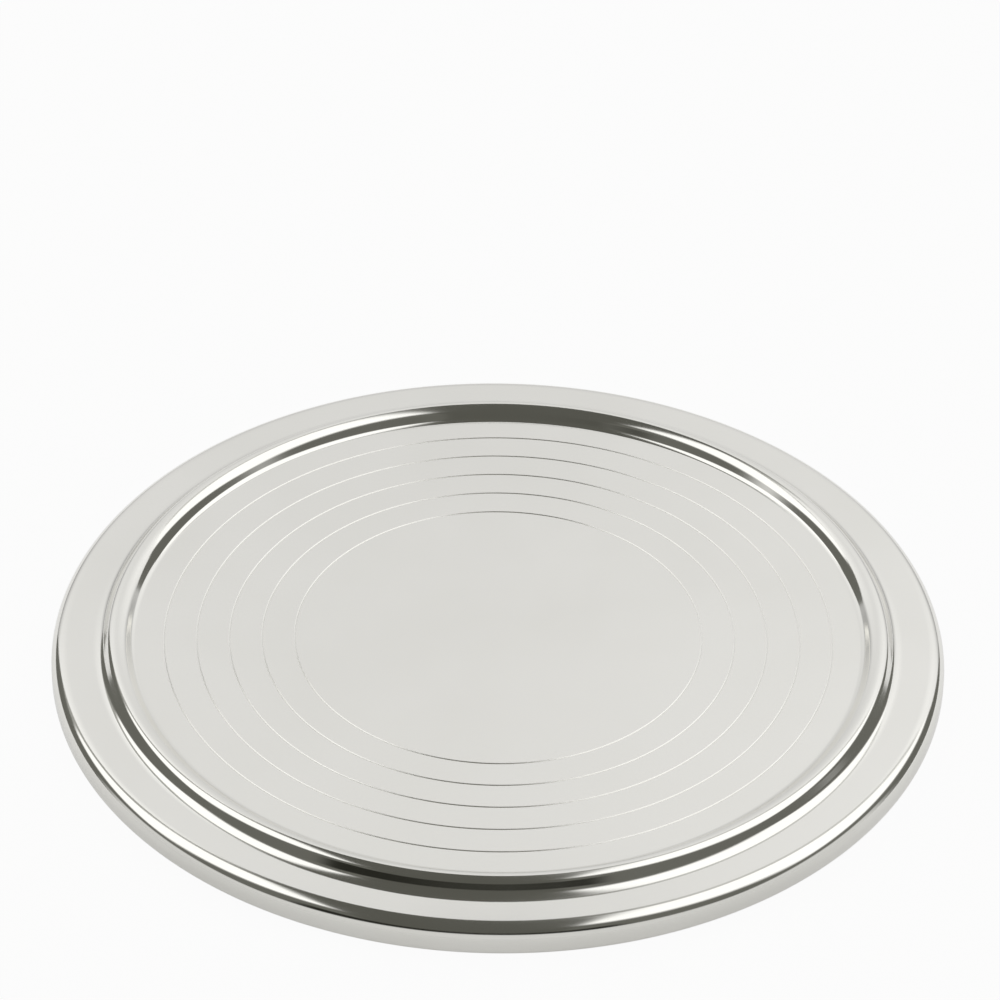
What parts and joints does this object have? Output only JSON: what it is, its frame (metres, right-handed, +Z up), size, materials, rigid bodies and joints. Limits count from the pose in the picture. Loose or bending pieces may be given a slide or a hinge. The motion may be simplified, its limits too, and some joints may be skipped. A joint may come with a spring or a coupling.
{
  "type": "trivet",
  "caption": "Round mirror-polished metal trivet with engraved circles and a raised bead, filled with cork and closed below by a board on push-in feet.",
  "frame": {"origin": "centre of the plane that the feet stand on", "axes": "+Z up through the centre of the plate; X and Y lie between neighbouring feet"},
  "size_m": [0.2, 0.2, 0.0106],
  "materials": {
    "silver_plate": "mirror-polished silver plate",
    "cork": "pressed cork",
    "fibre_board": "dark pressed fibre board",
    "foot_rubber": "matte rubber"
  },
  "bodies": {
    "root": {"top_plate": "silver_plate", "insulating_core": "cork", "base_board": "fibre_board", "foot_1": "foot_rubber", "foot_2": "foot_rubber", "foot_3": "foot_rubber", "foot_4": "foot_rubber"}
  },
  "joints": []
}
